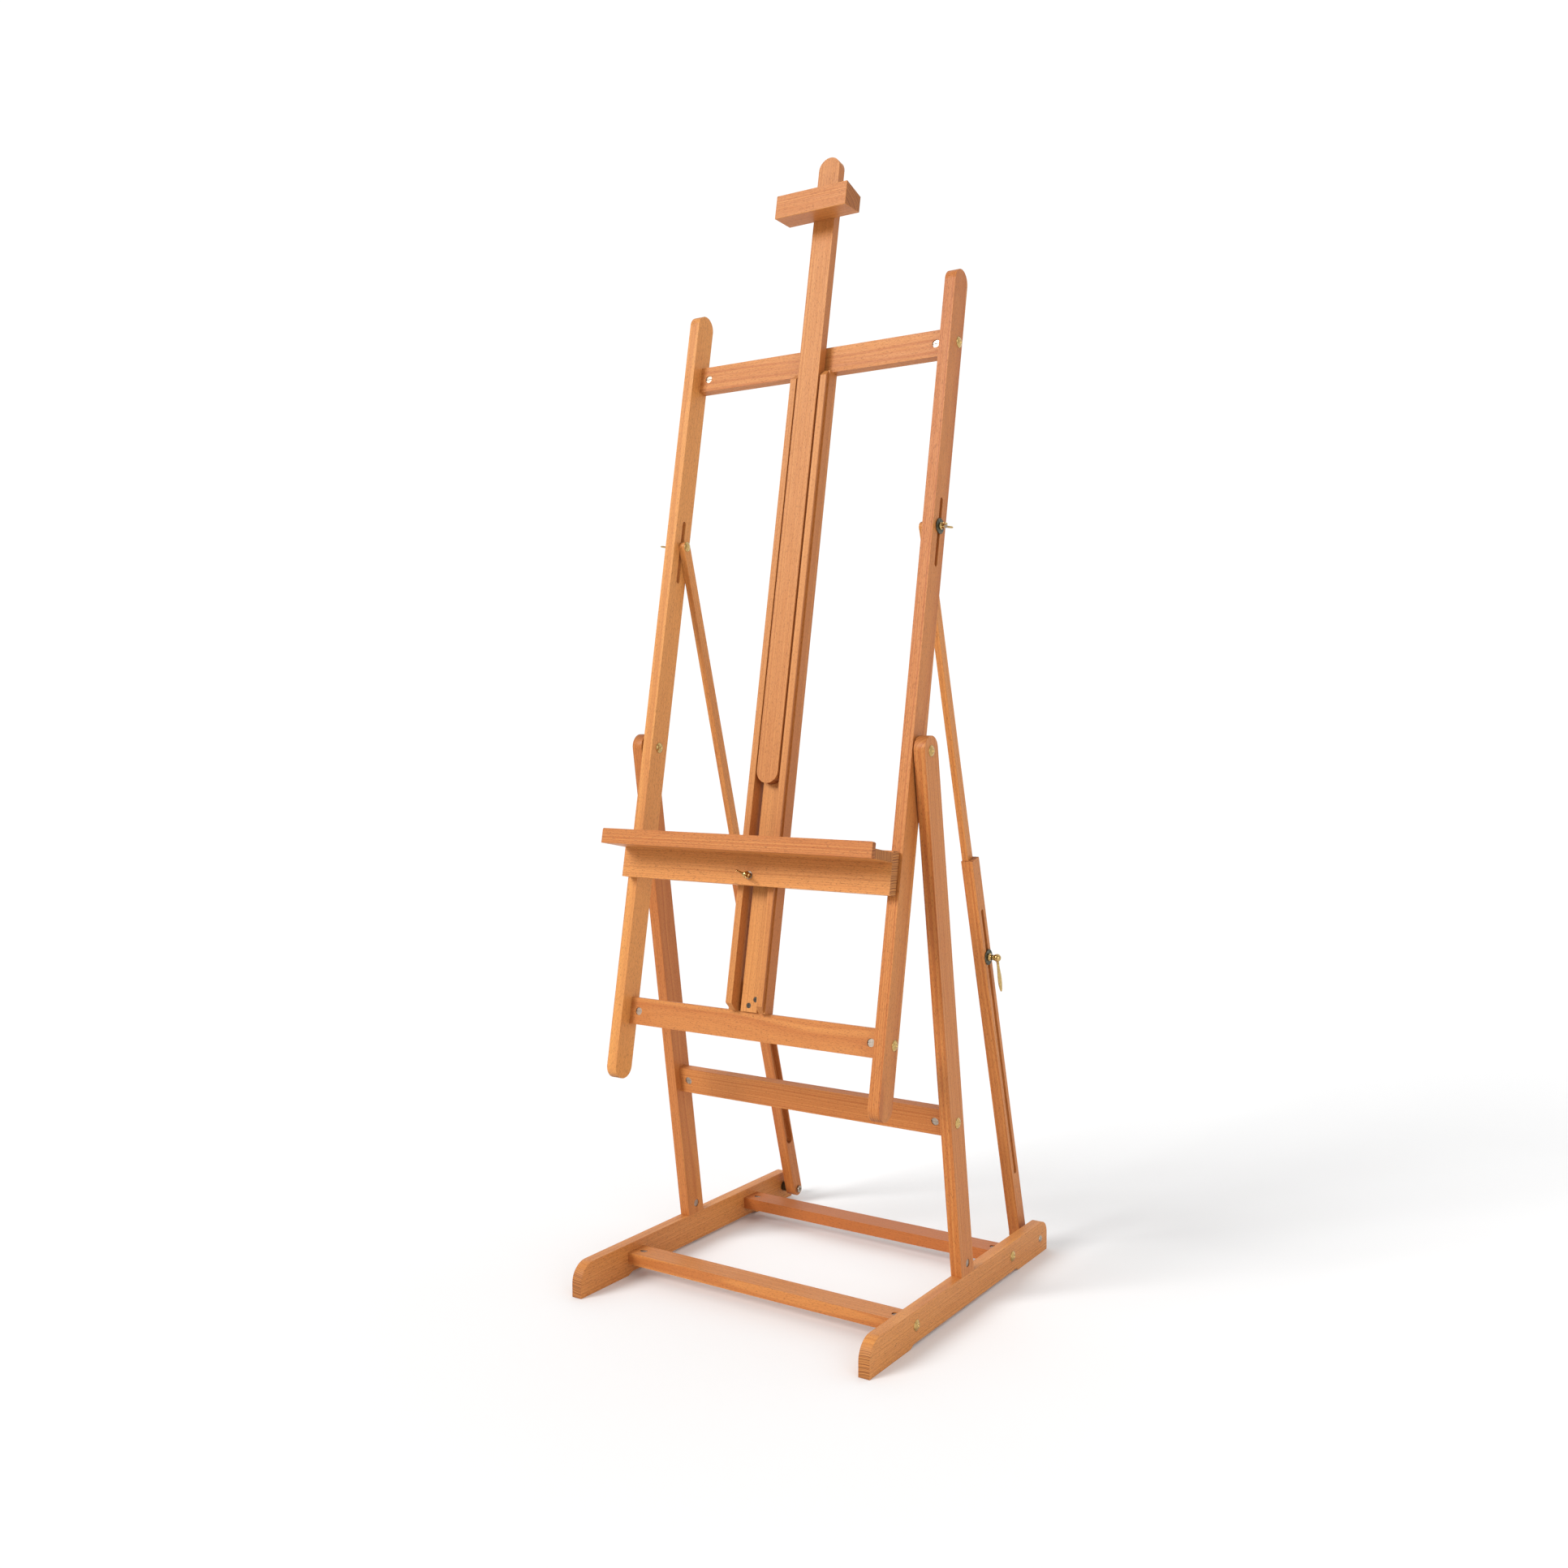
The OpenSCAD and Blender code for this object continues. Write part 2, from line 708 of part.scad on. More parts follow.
module shelf_lip() {
  color("#c98a55") easel_frame() difference() {
    translate([0, lip_v1, 0]) rotate([90, 0, 0]) linear_extrude(lip_t) union() {
      translate([-shelf_w / 2, shelf_u0]) square([shelf_w, lip_h - lip_r]);
      translate([-shelf_w / 2 + lip_r, shelf_u0]) square([shelf_w - 2 * lip_r, lip_h]);
      for (s = [-1, 1]) translate([s * (shelf_w / 2 - lip_r), shelf_u0 + lip_h - lip_r]) circle(r = lip_r);
    }
    lip_screw_sites() rod_y(screw_r + fit, -8, through);
  }
}

// screws from the lip's rear and from the support's rear into the board
module lip_screw_sites() {
  for (x = [-200, 0, 200]) translate([x * shelf_w / 544, lip_v1, shelf_u0 + shelf_t / 2]) children();
}

module shelf_board() {
  color("#c98a55") easel_frame() difference() {
    translate([-shelf_w / 2, lip_v1, shelf_u0]) cube([shelf_w, shelf_d, shelf_t]);
    lip_screw_sites() rod_y(screw_r + fit, -through, shelf_d + through);
  }
}

module shelf_support() {
  color("#c98a55") easel_frame() difference() {
    translate([-shelf_w / 2, sup_v0, sup_u0]) cube([shelf_w, support_t, support_h]);
    lip_screw_sites() rod_y(screw_r + fit, shelf_d - through, shelf_d + support_t + through);
    lip_screw_sites() rod_y(screw_d / 2 + fit, shelf_d + support_t - 4, shelf_d + support_t + through);
    translate([0, 0, knob_u]) rod_y(insert_d / 2 + fit, sup_v0 - through, sup_v1 + through);
    claw_screw_sites() rod_y(screw_r + fit, sup_v1 - 16, sup_v1 + through);
  }
}

module claw_screw_sites() {
  for (u = [sup_u0 + 16, sup_u0 + 48], s = [-1, 1]) translate([s * (claw_x1 - 10), 0, u]) children();
}

module claw() {
  easel_frame() difference() {
    translate([0, 0, sup_u0 + 2]) linear_extrude(claw_h) polygon([[ch + 0.6, sup_v1],
      [claw_x1, sup_v1], [claw_x1, groove_v - gap], [ch - groove_in + 0.6, groove_v - gap],
      [ch + 0.6, rail_v0]]);
    claw_screw_sites() rod_y(screw_r + fit, sup_v1 - through, groove_v + through);
    claw_screw_sites() rod_y(screw_d / 2 + fit, groove_v - 3, groove_v + through);
  }
}

module shelf_claw_right() { color("#b87c4a") claw(); }
module shelf_claw_left() { color("#b87c4a") mirror([1, 0, 0]) claw(); }

module shelf_screws() {
  color("#3c3632") easel_frame() {
    lip_screw_sites() {
      rod_y(screw_d / 2, shelf_d + support_t - 3.5, shelf_d + support_t - 1.5);
      rod_y(screw_r, -6, shelf_d + support_t - 2);
    }
    claw_screw_sites() {
      rod_y(screw_d / 2, groove_v - 2.6, groove_v - 0.6);
      rod_y(screw_r, sup_v1 - 14, groove_v - 1);
    }
  }
}

module shelf_insert() {
  color("#b89a5a") easel_frame() translate([0, 0, knob_u]) difference() {
    rod_y(insert_d / 2, sup_v0 + 0.5, sup_v1 - 0.5);
    rod_y(bolt_r + turn, sup_v0 - through, sup_v1 + through);
  }
}

module shelf_wing_screw() {
  color("#d8b25a") easel_frame() translate([0, 0, knob_u]) {
    translate([0, sup_v0 - 6, 0]) rotate([0, wing_turn, 0]) wing_hub(0);
    rod_y(bolt_r, sup_v0 - 6.5, board_v0 - 2);
    rod_y(8, sup_v1 + 4, sup_v1 + 6);
    rod_y(10, board_v0 - 2.5, board_v0 - fit);
  }
}

// ---- struts ----

module strut_sleeve() {
  wall = sleeve_x1 - bar_x1 - gap;
  strut_frame() difference() {
    slab_x(sleeve_x0, sleeve_x1) {
      translate([-sleeve_d / 2, 0]) square([sleeve_d, sleeve_up]);
      circle(d = sleeve_d);
    }
    slab_x(sleeve_x0 - through, sleeve_x1 - wall) {
      translate([-bar_d / 2 - gap, groove_end]) square([bar_d + 2 * gap, sleeve_up]);
      translate([0, groove_end]) circle(r = bar_d / 2 + gap);
    }
    rod_x(bolt_r + turn, sleeve_x0 - through, sleeve_x1 + through);
    slab_x(bar_x1, sleeve_x1 + through) stadium(sl_slot_w, sl_slot0, sl_slot1);
  }
}

module strut_sleeve_right() { color("#b87c4a") strut_sleeve(); }
module strut_sleeve_left() { color("#b87c4a") mirror([1, 0, 0]) strut_sleeve(); }

module strut_bar() {
  strut_frame() difference() {
    slab_x(bar_x0, bar_x1) stadium(bar_d, bar_low, bar_high);
    for (s = [lever_s, strut_len])
      translate([0, 0, s]) rod_x(hole_r, bar_x0 - through, bar_x1 + through);
  }
}

module strut_bar_right() { color("#c98a55") strut_bar(); }
module strut_bar_left() { color("#c98a55") mirror([1, 0, 0]) strut_bar(); }

// the top bolt's outer half is slot_stud; the clamp bolt runs out through the sleeve
module strut_bolts() {
  strut_frame() {
    for (s = [lever_s, strut_len])
      translate([bar_x0, 0, s]) mirror([1, 0, 0]) dome(bar_d - 1, 3.5);
    translate([0, 0, strut_len]) rod_x(bolt_r, bar_x0 - 0.5, bar_x1);
    translate([0, 0, lever_s]) rod_x(bolt_r, bar_x0 - 0.5, sleeve_x1 + washer_t + 9);
  }
}

module strut_bolts_right() { color("#d8b25a") strut_bolts(); }
module strut_bolts_left() { color("#d8b25a") mirror([1, 0, 0]) strut_bolts(); }

module clamp_washer() {
  strut_frame() translate([0, 0, lever_s]) difference() {
    rod_x(washer_d / 2, sleeve_x1 + gap, sleeve_x1 + gap + washer_t);
    rod_x(hole_r, sleeve_x1, sleeve_x1 + washer_t + through);
  }
}

module clamp_washer_right() { color("#55564a") clamp_washer(); }
module clamp_washer_left() { color("#55564a") mirror([1, 0, 0]) clamp_washer(); }

// threaded hub, ball and a flat paddle handle that hangs along the sleeve
module clamp_lever() {
  x0 = sleeve_x1 + gap + washer_t + gap;
  ball = sleeve_x1 + ball_x;
  strut_frame() translate([0, 0, lever_s]) difference() {
    union() {
      rod_x(7, x0, x0 + 2);
      rod_x(5.2, x0 + 1, ball);
      translate([ball, 0, 0]) sphere(d = ball_d);
      slab_x(ball - 2.5, ball + 2.5) {
        polygon([[-2.5, 0], [2.5, 0], [3, -20], [7, -38], [6.5, -55], [3.5, -62], [-3.5, -62],
          [-6.5, -55], [-7, -38], [-3, -20]]);
        translate([0, -62]) circle(r = 4);
      }
    }
    rod_x(bolt_r + turn, x0 - through, sleeve_x1 + washer_t + 9.5);
  }
}

module clamp_lever_right() { color("#d8b25a") clamp_lever(); }
module clamp_lever_left() { color("#d8b25a") mirror([1, 0, 0]) clamp_lever(); }

// outer half of the top bolt; the slot is the open pivot, so none is inside it
stud_out = 11;
module slot_stud() {
  easel_frame() translate([0, 0, strut_u])
    rod_x(bolt_r, up_out + gap, up_out + gap + washer_t + stud_out);
}

module slot_stud_right() { color("#b89a5a") slot_stud(); }
module slot_stud_left() { color("#b89a5a") mirror([1, 0, 0]) slot_stud(); }

module slot_washer() {
  easel_frame() translate([0, 0, strut_u]) difference() {
    rod_x(washer_d / 2 - 1, up_out + gap, up_out + gap + washer_t);
    rod_x(hole_r, up_out, up_out + washer_t + through);
  }
}

module slot_washer_right() { color("#55564a") slot_washer(); }
module slot_washer_left() { color("#55564a") mirror([1, 0, 0]) slot_washer(); }

module wing_nut() {
  easel_frame() translate([up_out + gap + washer_t + gap, 0, strut_u])
    rotate([90, 0, 90]) rotate([-90, 0, 0]) wing_hub(bolt_r + turn);
}

module wing_nut_right() { color("#d8b25a") wing_nut(); }
module wing_nut_left() { color("#d8b25a") mirror([1, 0, 0]) wing_nut(); }

foot_left();
foot_right();
base_rail_front();
base_rail_rear();
leg_left();
leg_right();
leg_crossbar();
base_bolts();
base_barrel_nuts();
leg_foot_bolts();
tilt_bolts();
tilt_washers();
strut_foot_bolts();
strut_spacers();
upright_left();
upright_right();
top_crossbar();
bottom_crossbar();
channel_board();
guide_rail_left();
guide_rail_right();
channel_cleat_top();
channel_cleat_bottom();
channel_screws();
channel_dowels();
frame_bolts();
frame_barrel_nuts();
mast();
mast_runners();
mast_keeper_plate();
mast_screws();
mast_lock_screw();
canvas_clamp();
shelf_lip();
shelf_board();
shelf_support();
shelf_claw_left();
shelf_claw_right();
shelf_screws();
shelf_insert();
shelf_wing_screw();
strut_sleeve_left();
strut_sleeve_right();
strut_bar_left();
strut_bar_right();
strut_bolts_left();
strut_bolts_right();
clamp_washer_left();
clamp_washer_right();
clamp_lever_left();
clamp_lever_right();
slot_stud_left();
slot_stud_right();
slot_washer_left();
slot_washer_right();
wing_nut_left();
wing_nut_right();
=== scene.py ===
"""Finishes, rounded edges, turned fittings and studio light for the wooden artist easel."""

import json
import math

import bmesh
import bpy
from mathutils import Matrix, Vector


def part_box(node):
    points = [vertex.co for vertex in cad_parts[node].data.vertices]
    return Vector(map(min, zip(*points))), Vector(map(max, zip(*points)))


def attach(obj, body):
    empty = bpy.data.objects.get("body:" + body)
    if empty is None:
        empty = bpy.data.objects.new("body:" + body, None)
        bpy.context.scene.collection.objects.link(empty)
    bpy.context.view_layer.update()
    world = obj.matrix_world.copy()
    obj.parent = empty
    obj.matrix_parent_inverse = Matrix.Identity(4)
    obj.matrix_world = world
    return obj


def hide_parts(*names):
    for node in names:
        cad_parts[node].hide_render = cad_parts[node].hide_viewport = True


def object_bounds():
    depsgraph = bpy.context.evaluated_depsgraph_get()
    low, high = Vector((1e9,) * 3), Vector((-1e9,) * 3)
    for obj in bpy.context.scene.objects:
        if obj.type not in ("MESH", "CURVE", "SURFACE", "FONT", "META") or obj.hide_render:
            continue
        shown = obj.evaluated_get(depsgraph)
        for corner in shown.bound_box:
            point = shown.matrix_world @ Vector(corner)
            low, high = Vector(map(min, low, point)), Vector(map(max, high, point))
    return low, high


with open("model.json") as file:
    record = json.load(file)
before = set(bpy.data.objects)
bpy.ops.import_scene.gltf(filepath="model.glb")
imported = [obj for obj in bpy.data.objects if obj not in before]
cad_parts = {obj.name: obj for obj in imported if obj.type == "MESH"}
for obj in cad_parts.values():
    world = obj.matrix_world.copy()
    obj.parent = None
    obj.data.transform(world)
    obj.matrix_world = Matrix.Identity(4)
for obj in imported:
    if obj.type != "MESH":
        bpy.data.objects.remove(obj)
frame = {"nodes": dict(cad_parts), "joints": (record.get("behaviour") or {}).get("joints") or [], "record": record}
cad_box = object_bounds()

MM = 0.001
record = frame["record"]
joint = {j["name"]: j for j in frame["joints"]}
body_of_node = {n: b for b, members in record["behaviour"]["bodies"].items() for n in members}
slot_of_node = {s["node"]: s["material_slot"] for s in record["subparts"]}
up_easel = Vector(joint["mast_slide"]["axis"]).normalized()
back_easel = Vector(joint["mast_lock_turn"]["axis"]).normalized()
down_strut = -Vector(joint["strut_extend_left"]["axis"]).normalized()
RIGHT = Vector((1, 0, 0))


# ---------------------------------------------------------------- shader help

def group_with(name, inputs, outputs):
    """A shader node group with named sockets; returns the tree, its input and its output node."""
    tree = bpy.data.node_groups.new(name, "ShaderNodeTree")
    kinds = {"float": "NodeSocketFloat", "vector": "NodeSocketVector", "color": "NodeSocketColor"}
    for label, kind, value in inputs:
        sock = tree.interface.new_socket(label, in_out="INPUT", socket_type=kinds[kind])
        if value is not None:
            sock.default_value = value
    for label, kind in outputs:
        tree.interface.new_socket(label, in_out="OUTPUT", socket_type=kinds[kind])
    return tree, tree.nodes.new("NodeGroupInput"), tree.nodes.new("NodeGroupOutput")


def put(tree, kind, values=(), **settings):
    """A node with its settings made and its inputs set or linked, by index or name."""
    node = tree.nodes.new("ShaderNode" + kind)
    for key, value in settings.items():
        setattr(node, key, value)
    for key, value in dict(values).items():
        if isinstance(value, bpy.types.NodeSocket):
            tree.links.new(value, node.inputs[key])
        else:
            node.inputs[key].default_value = value
    return node


def calc(tree, operation, a, b=0.0, c=0.0):
    return put(tree, "Math", {0: a, 1: b, 2: c}, operation=operation).outputs[0]


def stretch(tree, vector, across, along):
    """The grain coordinates scaled: fine across the board, long along it."""
    return put(tree, "VectorMath", {0: vector, 1: (across, across, along)},
               operation="MULTIPLY").outputs[0]


def ramp(tree, value, low, high, out_low=0.0, out_high=1.0):
    return put(tree, "MapRange", {"Value": value, "From Min": low, "From Max": high,
                                  "To Min": out_low, "To Max": out_high}, clamp=True).outputs[0]


def noise(tree, vector, scale=1.0, detail=2.0, rough=0.5):
    return put(tree, "TexNoise", {"Vector": vector, "Scale": scale, "Detail": detail,
                                  "Roughness": rough}).outputs["Fac"]


def blend(tree, factor, a, b):
    return put(tree, "Mix", {0: factor, 6: a, 7: b}, data_type="RGBA",
               clamp_factor=True).outputs[2]


def group_result(tree, out, color, rough, height):
    for label, value in (("Color", color), ("Roughness", rough), ("Height", height)):
        tree.links.new(value, out.inputs[label])
    return tree


def beech_figure():
    """Growth rings, fine fibres and ray flecks of beech, laid along the board's own grain."""
    tree, inp, out = group_with(
        "beech_figure",
        [("Grain", "vector", None), ("Light", "color", (0.8, 0.5, 0.3, 1)),
         ("Dark", "color", (0.6, 0.3, 0.15, 1)), ("Fleck", "color", (0.3, 0.13, 0.06, 1)),
         ("Tone", "float", 0.0), ("End", "float", 0.0), ("Arris", "float", 0.0)],
        [("Color", "color"), ("Roughness", "float"), ("Height", "float")])
    grain = inp.outputs["Grain"]
    # how fine each mark is: waves per metre, across the grain and along it
    sway_rate, drift_rate = (9.0, 1.6), (7.0, 1.1)
    fibre_rate, fleck_rate, pore_rate = (820.0, 14.0), (1500.0, 210.0), (2600.0, 2600.0)
    ring_rate, end_ring_rate = 330.0, 620.0
    ring_sway = 16 * MM
    # wavy growth rings about a pith outside the board
    sway = noise(tree, stretch(tree, grain, *sway_rate))
    parts = put(tree, "SeparateXYZ", {0: grain})
    flat = put(tree, "CombineXYZ", {0: parts.outputs[0], 1: parts.outputs[1], 2: 0.0})
    radius = put(tree, "VectorMath", {0: flat.outputs[0]}, operation="LENGTH").outputs["Value"]
    ring_at = calc(tree, "MULTIPLY_ADD", sway, ring_sway, radius)
    rings = put(tree, "TexNoise", {"W": calc(tree, "MULTIPLY", ring_at, ring_rate),
                                   "Scale": 1.0, "Detail": 2.5, "Roughness": 0.62},
                noise_dimensions="1D").outputs["Fac"]
    rings = ramp(tree, rings, 0.33, 0.70)
    # broad tone drift from board to board and along it
    drift = ramp(tree, noise(tree, stretch(tree, grain, *drift_rate)), 0.3, 0.7)
    fibres = noise(tree, stretch(tree, grain, *fibre_rate), 1.0, 3.0, 0.62)
    fibres_soft = ramp(tree, fibres, 0.32, 0.70)
    # short dark ray flecks, a few millimetres long
    fleck = noise(tree, stretch(tree, grain, *fleck_rate), 1.0, 1.0)
    fleck = ramp(tree, fleck, 0.57, 0.70)
    pores = ramp(tree, noise(tree, stretch(tree, grain, *pore_rate), 1.0, 1.0), 0.55, 0.72)
    # the darker the tone, the more of the dark wood's colour shows
    tone = calc(tree, "MULTIPLY_ADD", rings, 0.50, calc(tree, "MULTIPLY", fibres_soft, 0.26))
    tone = calc(tree, "MULTIPLY_ADD", drift, 0.30, tone)
    tone = calc(tree, "ADD", tone, inp.outputs["Tone"])
    color = blend(tree, tone, inp.outputs["Light"], inp.outputs["Dark"])
    long_side = calc(tree, "SUBTRACT", 1.0, inp.outputs["End"])
    color = blend(tree, calc(tree, "MULTIPLY", calc(tree, "MULTIPLY", fleck, 0.55), long_side),
                  color, inp.outputs["Fleck"])
    # thirsty end grain shows its growth rings as dark stripes; the arris faces get a painted highlight, blending
    # towards the light colour
    stripes = put(tree, "TexNoise", {"W": calc(tree, "MULTIPLY", ring_at, end_ring_rate),
                                     "Scale": 1.0, "Detail": 1.0},
                  noise_dimensions="1D").outputs["Fac"]
    stripes = ramp(tree, stripes, 0.44, 0.56, 0.16, 0.80)
    end_dark = calc(tree, "MULTIPLY", inp.outputs["End"],
                    calc(tree, "MULTIPLY_ADD", pores, 0.12, stripes))
    color = blend(tree, end_dark, color, inp.outputs["Fleck"])
    # painted highlight along the eased edges, in the base colour
    edge_highlight = calc(tree, "MULTIPLY", inp.outputs["Arris"],
               calc(tree, "MULTIPLY", ramp(tree, drift, 0.1, 0.9), 0.35))
    color = blend(tree, edge_highlight, color, inp.outputs["Light"])
    rough = calc(tree, "MULTIPLY_ADD", fibres_soft, 0.10, 0.40)
    rough = calc(tree, "MULTIPLY_ADD", inp.outputs["End"], 0.15, rough)
    rough = calc(tree, "MULTIPLY_ADD", inp.outputs["Arris"], -0.08, rough)
    height = calc(tree, "MULTIPLY_ADD", fibres, 0.6, calc(tree, "MULTIPLY", fleck, -0.35))
    return group_result(tree, out, color, rough, height)


def handled_metal():
    """Tarnish in soft patches and fine turning marks, on brass and plated steel; on the bright brass the dark
    patches also stand as painted dark reflections.
    """
    tree, inp, out = group_with(
        "handled_metal",
        [("Place", "vector", None), ("Clean", "color", (0.8, 0.6, 0.3, 1)),
         ("Tarnish and Reflection", "color", (0.4, 0.28, 0.12, 1)), ("Tarnish and Reflection Share", "float", 0.4),
         ("Polish", "float", 0.2)],
        [("Color", "color"), ("Roughness", "float"), ("Height", "float")])
    tarnish_and_reflection_patch = noise(tree, inp.outputs["Place"], 260.0, 3.0, 0.6)
    tarnish_and_reflection_patch = calc(tree, "MULTIPLY", ramp(tree, tarnish_and_reflection_patch, 0.38, 0.70), inp.outputs["Tarnish and Reflection Share"])
    marks = noise(tree, inp.outputs["Place"], 2400.0, 2.0, 0.6)
    color = blend(tree, tarnish_and_reflection_patch, inp.outputs["Clean"], inp.outputs["Tarnish and Reflection"])
    rough = calc(tree, "MULTIPLY_ADD", tarnish_and_reflection_patch, 0.28, inp.outputs["Polish"])
    rough = calc(tree, "MULTIPLY_ADD", marks, 0.06, rough)
    return group_result(tree, out, color, rough, marks)


BEECH_FIGURE = beech_figure()
HANDLED_METAL = handled_metal()


def finish(name):
    """A new material with an empty tree but for its shader; returns material, tree and shader."""
    mat = bpy.data.materials.new(name)
    mat.use_nodes = True
    tree = mat.node_tree
    return mat, tree, tree.nodes["Principled BSDF"]


def bumped(tree, shader, height, strength, distance):
    bump = put(tree, "Bump", {"Height": height, "Strength": strength, "Distance": distance})
    tree.links.new(bump.outputs[0], shader.inputs["Normal"])


def carried(tree, name, socket):
    """A value that each board's mesh carries."""
    return put(tree, "Attribute", attribute_name=name).outputs[socket]


def beech(name, light, dark, fleck):
    mat, tree, shader = finish(name)
    figure = put(tree, "Group",
                 {"Light": (*light, 1), "Dark": (*dark, 1), "Fleck": (*fleck, 1),
                  "Grain": carried(tree, "grain", "Vector"), "Tone": carried(tree, "tone", "Fac"),
                  "End": carried(tree, "end_grain", "Fac"),
                  "Arris": carried(tree, "arris", "Fac")}, node_tree=BEECH_FIGURE)
    tree.links.new(figure.outputs["Color"], shader.inputs["Base Color"])
    tree.links.new(figure.outputs["Roughness"], shader.inputs["Roughness"])
    bumped(tree, shader, figure.outputs["Height"], 0.35, 0.4 * MM)
    shader.inputs["Specular IOR Level"].default_value = 0.25
    return mat


def metal(name, clean, tarnish_and_reflection, tarnish_and_reflection_share, polish, bump=0.15):
    mat, tree, shader = finish(name)
    hand = put(tree, "Group",
               {"Clean": (*clean, 1), "Tarnish and Reflection": (*tarnish_and_reflection, 1), "Tarnish and Reflection Share": tarnish_and_reflection_share,
                "Polish": polish, "Place": put(tree, "TexCoord").outputs["Object"]},
               node_tree=HANDLED_METAL)
    tree.links.new(hand.outputs["Color"], shader.inputs["Base Color"])
    tree.links.new(hand.outputs["Roughness"], shader.inputs["Roughness"])
    bumped(tree, shader, hand.outputs["Height"], bump, 0.2 * MM)
    shader.inputs["Metallic"].default_value = 1.0
    return mat


FINISH = {
    "beech": beech("beech_oiled", (0.65, 0.275, 0.074), (0.43, 0.130, 0.030), (0.12, 0.032, 0.009)),
    "beech_light": beech("beech_oiled_light", (0.66, 0.285, 0.080), (0.45, 0.158, 0.040),
                         (0.15, 0.042, 0.012)),
    "beech_dark": beech("beech_oiled_dark", (0.46, 0.175, 0.055), (0.29, 0.088, 0.025),
                        (0.10, 0.026, 0.008)),
    # bright brass: its very dark patches are partly real tarnish and partly painted dark reflections of the room
    "brass": metal("brass_bright", (0.62, 0.42, 0.16), (0.13, 0.07, 0.02), 0.45, 0.13),
    "dull_brass": metal("brass_turned", (0.46, 0.39, 0.32), (0.20, 0.15, 0.11), 0.5, 0.34, 0.3),
    "dark_washer": metal("washer_dark", (0.13, 0.125, 0.09), (0.05, 0.045, 0.03), 0.8, 0.40, 0.3),
    "dark_steel": metal("screw_dark", (0.10, 0.085, 0.07), (0.03, 0.025, 0.02), 0.7, 0.36, 0.3),
}

# how far each board leans to the darker, redder side of beech
OTHER_TONE = 0.2
TONE = {
    "mast": 0.2, "top_crossbar": 0.12, "bottom_crossbar": 0.05, "leg_crossbar": 0.15,
    "upright_left": -0.35, "upright_right": 0.25, "leg_left": 0.25, "leg_right": 0.3,
    "shelf_lip": 0.25, "shelf_support": -0.25, "shelf_board": 0.0, "channel_board": -0.12,
    "foot_left": -0.1, "foot_right": -0.25, "base_rail_front": 0.05, "base_rail_rear": 0.65,
    "strut_bar_left": -0.15, "strut_bar_right": -0.1, "strut_sleeve_left": 0.3,
    "strut_sleeve_right": 0.1, "canvas_clamp": 0.1, "guide_rail_right": 0.2,
}
# boards sawn so that their wide faces show straight, even lines
QUARTER_SAWN = ("foot_left", "foot_right", "mast", "shelf_support", "shelf_board", "upright_right")
# painted light and shade on the X-facing sides of some boards: positive values paint shade on the sides, negative
# values paint light
SIDE_PAINTED_LIGHT_AND_SHADE = {"mast": 0.9, "guide_rail_left": 0.4, "guide_rail_right": 0.4, "leg_right": -0.1,
             "upright_left": -0.2}


# ------------------------------------------------------------------ mesh help

SOCKET = 2.6 * MM           # key socket in a domed bolt head, centre to corner
SOCKET_DEPTH = 2.4 * MM
SHANK = 4.0 * MM            # radius of the through bolts
CRISP = math.radians(26)    # edges that turn more than this are broken
BARELY = math.radians(0.5)  # and faces that turn less than this are flat
SMALL_FACE = 4e-4           # square metres; only smaller faces belong to a curve
GOLDEN_TURN = 2.399         # radians; gives each board its own place about the pith


def place_piece(bm, name, node):
    """Turns the bmesh into a named piece that stands for its CAD node and rides with it."""
    mesh = bpy.data.meshes.new(name)
    bm.to_mesh(mesh)
    bm.free()
    piece = bpy.data.objects.new(name, mesh)
    bpy.context.scene.collection.objects.link(piece)
    mesh.materials.append(FINISH[slot_of_node[node]])
    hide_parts(node)
    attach(piece, body_of_node[node])


def solid_of(node):
    """The node's own solid as a clean bmesh: doubles merged, flat faces joined."""
    bm = bmesh.new()
    bm.from_mesh(frame["nodes"][node].data)
    bmesh.ops.remove_doubles(bm, verts=bm.verts, dist=3e-6)
    bmesh.ops.dissolve_limit(bm, angle_limit=math.radians(0.3), verts=bm.verts, edges=bm.edges)
    return bm


def run_of(edge):
    return (edge.verts[1].co - edge.verts[0].co).normalized()


def joined_to(seeds):
    """The given vertices and all that edges tie to them, in a steady order."""
    reached, grow = dict.fromkeys(seeds), list(seeds)
    while grow:
        for edge in grow.pop().link_edges:
            for vert in edge.verts:
                if vert not in reached:
                    reached[vert] = True
                    grow.append(vert)
    return list(reached)


def edges_at(verts):
    return list(dict.fromkeys(e for v in verts for e in v.link_edges))


def faces_at(verts):
    return list(dict.fromkeys(f for v in verts for f in v.link_faces))


def round_over(bm, radius):
    """Eases every crisp edge and marks the new faces as arris; curved faces turn smooth."""
    arris = bm.faces.layers.float.new("arris")
    for face in bm.faces:
        turns = [e.calc_face_angle(3.0) for e in face.edges if len(e.link_faces) == 2]
        bends = any(BARELY < t < CRISP for t in turns)
        face.smooth = bends and face.calc_area() < SMALL_FACE
    crisp = [e for e in bm.edges if len(e.link_faces) == 2 and e.calc_face_angle(0.0) > CRISP]
    made = bmesh.ops.bevel(bm, geom=crisp, offset=radius, offset_type="OFFSET", affect="EDGES",
                           segments=2, profile=0.5, clamp_overlap=True, material=-1,
                           loop_slide=True)
    for face in made["faces"]:
        face[arris] = 1.0
        face.smooth = True


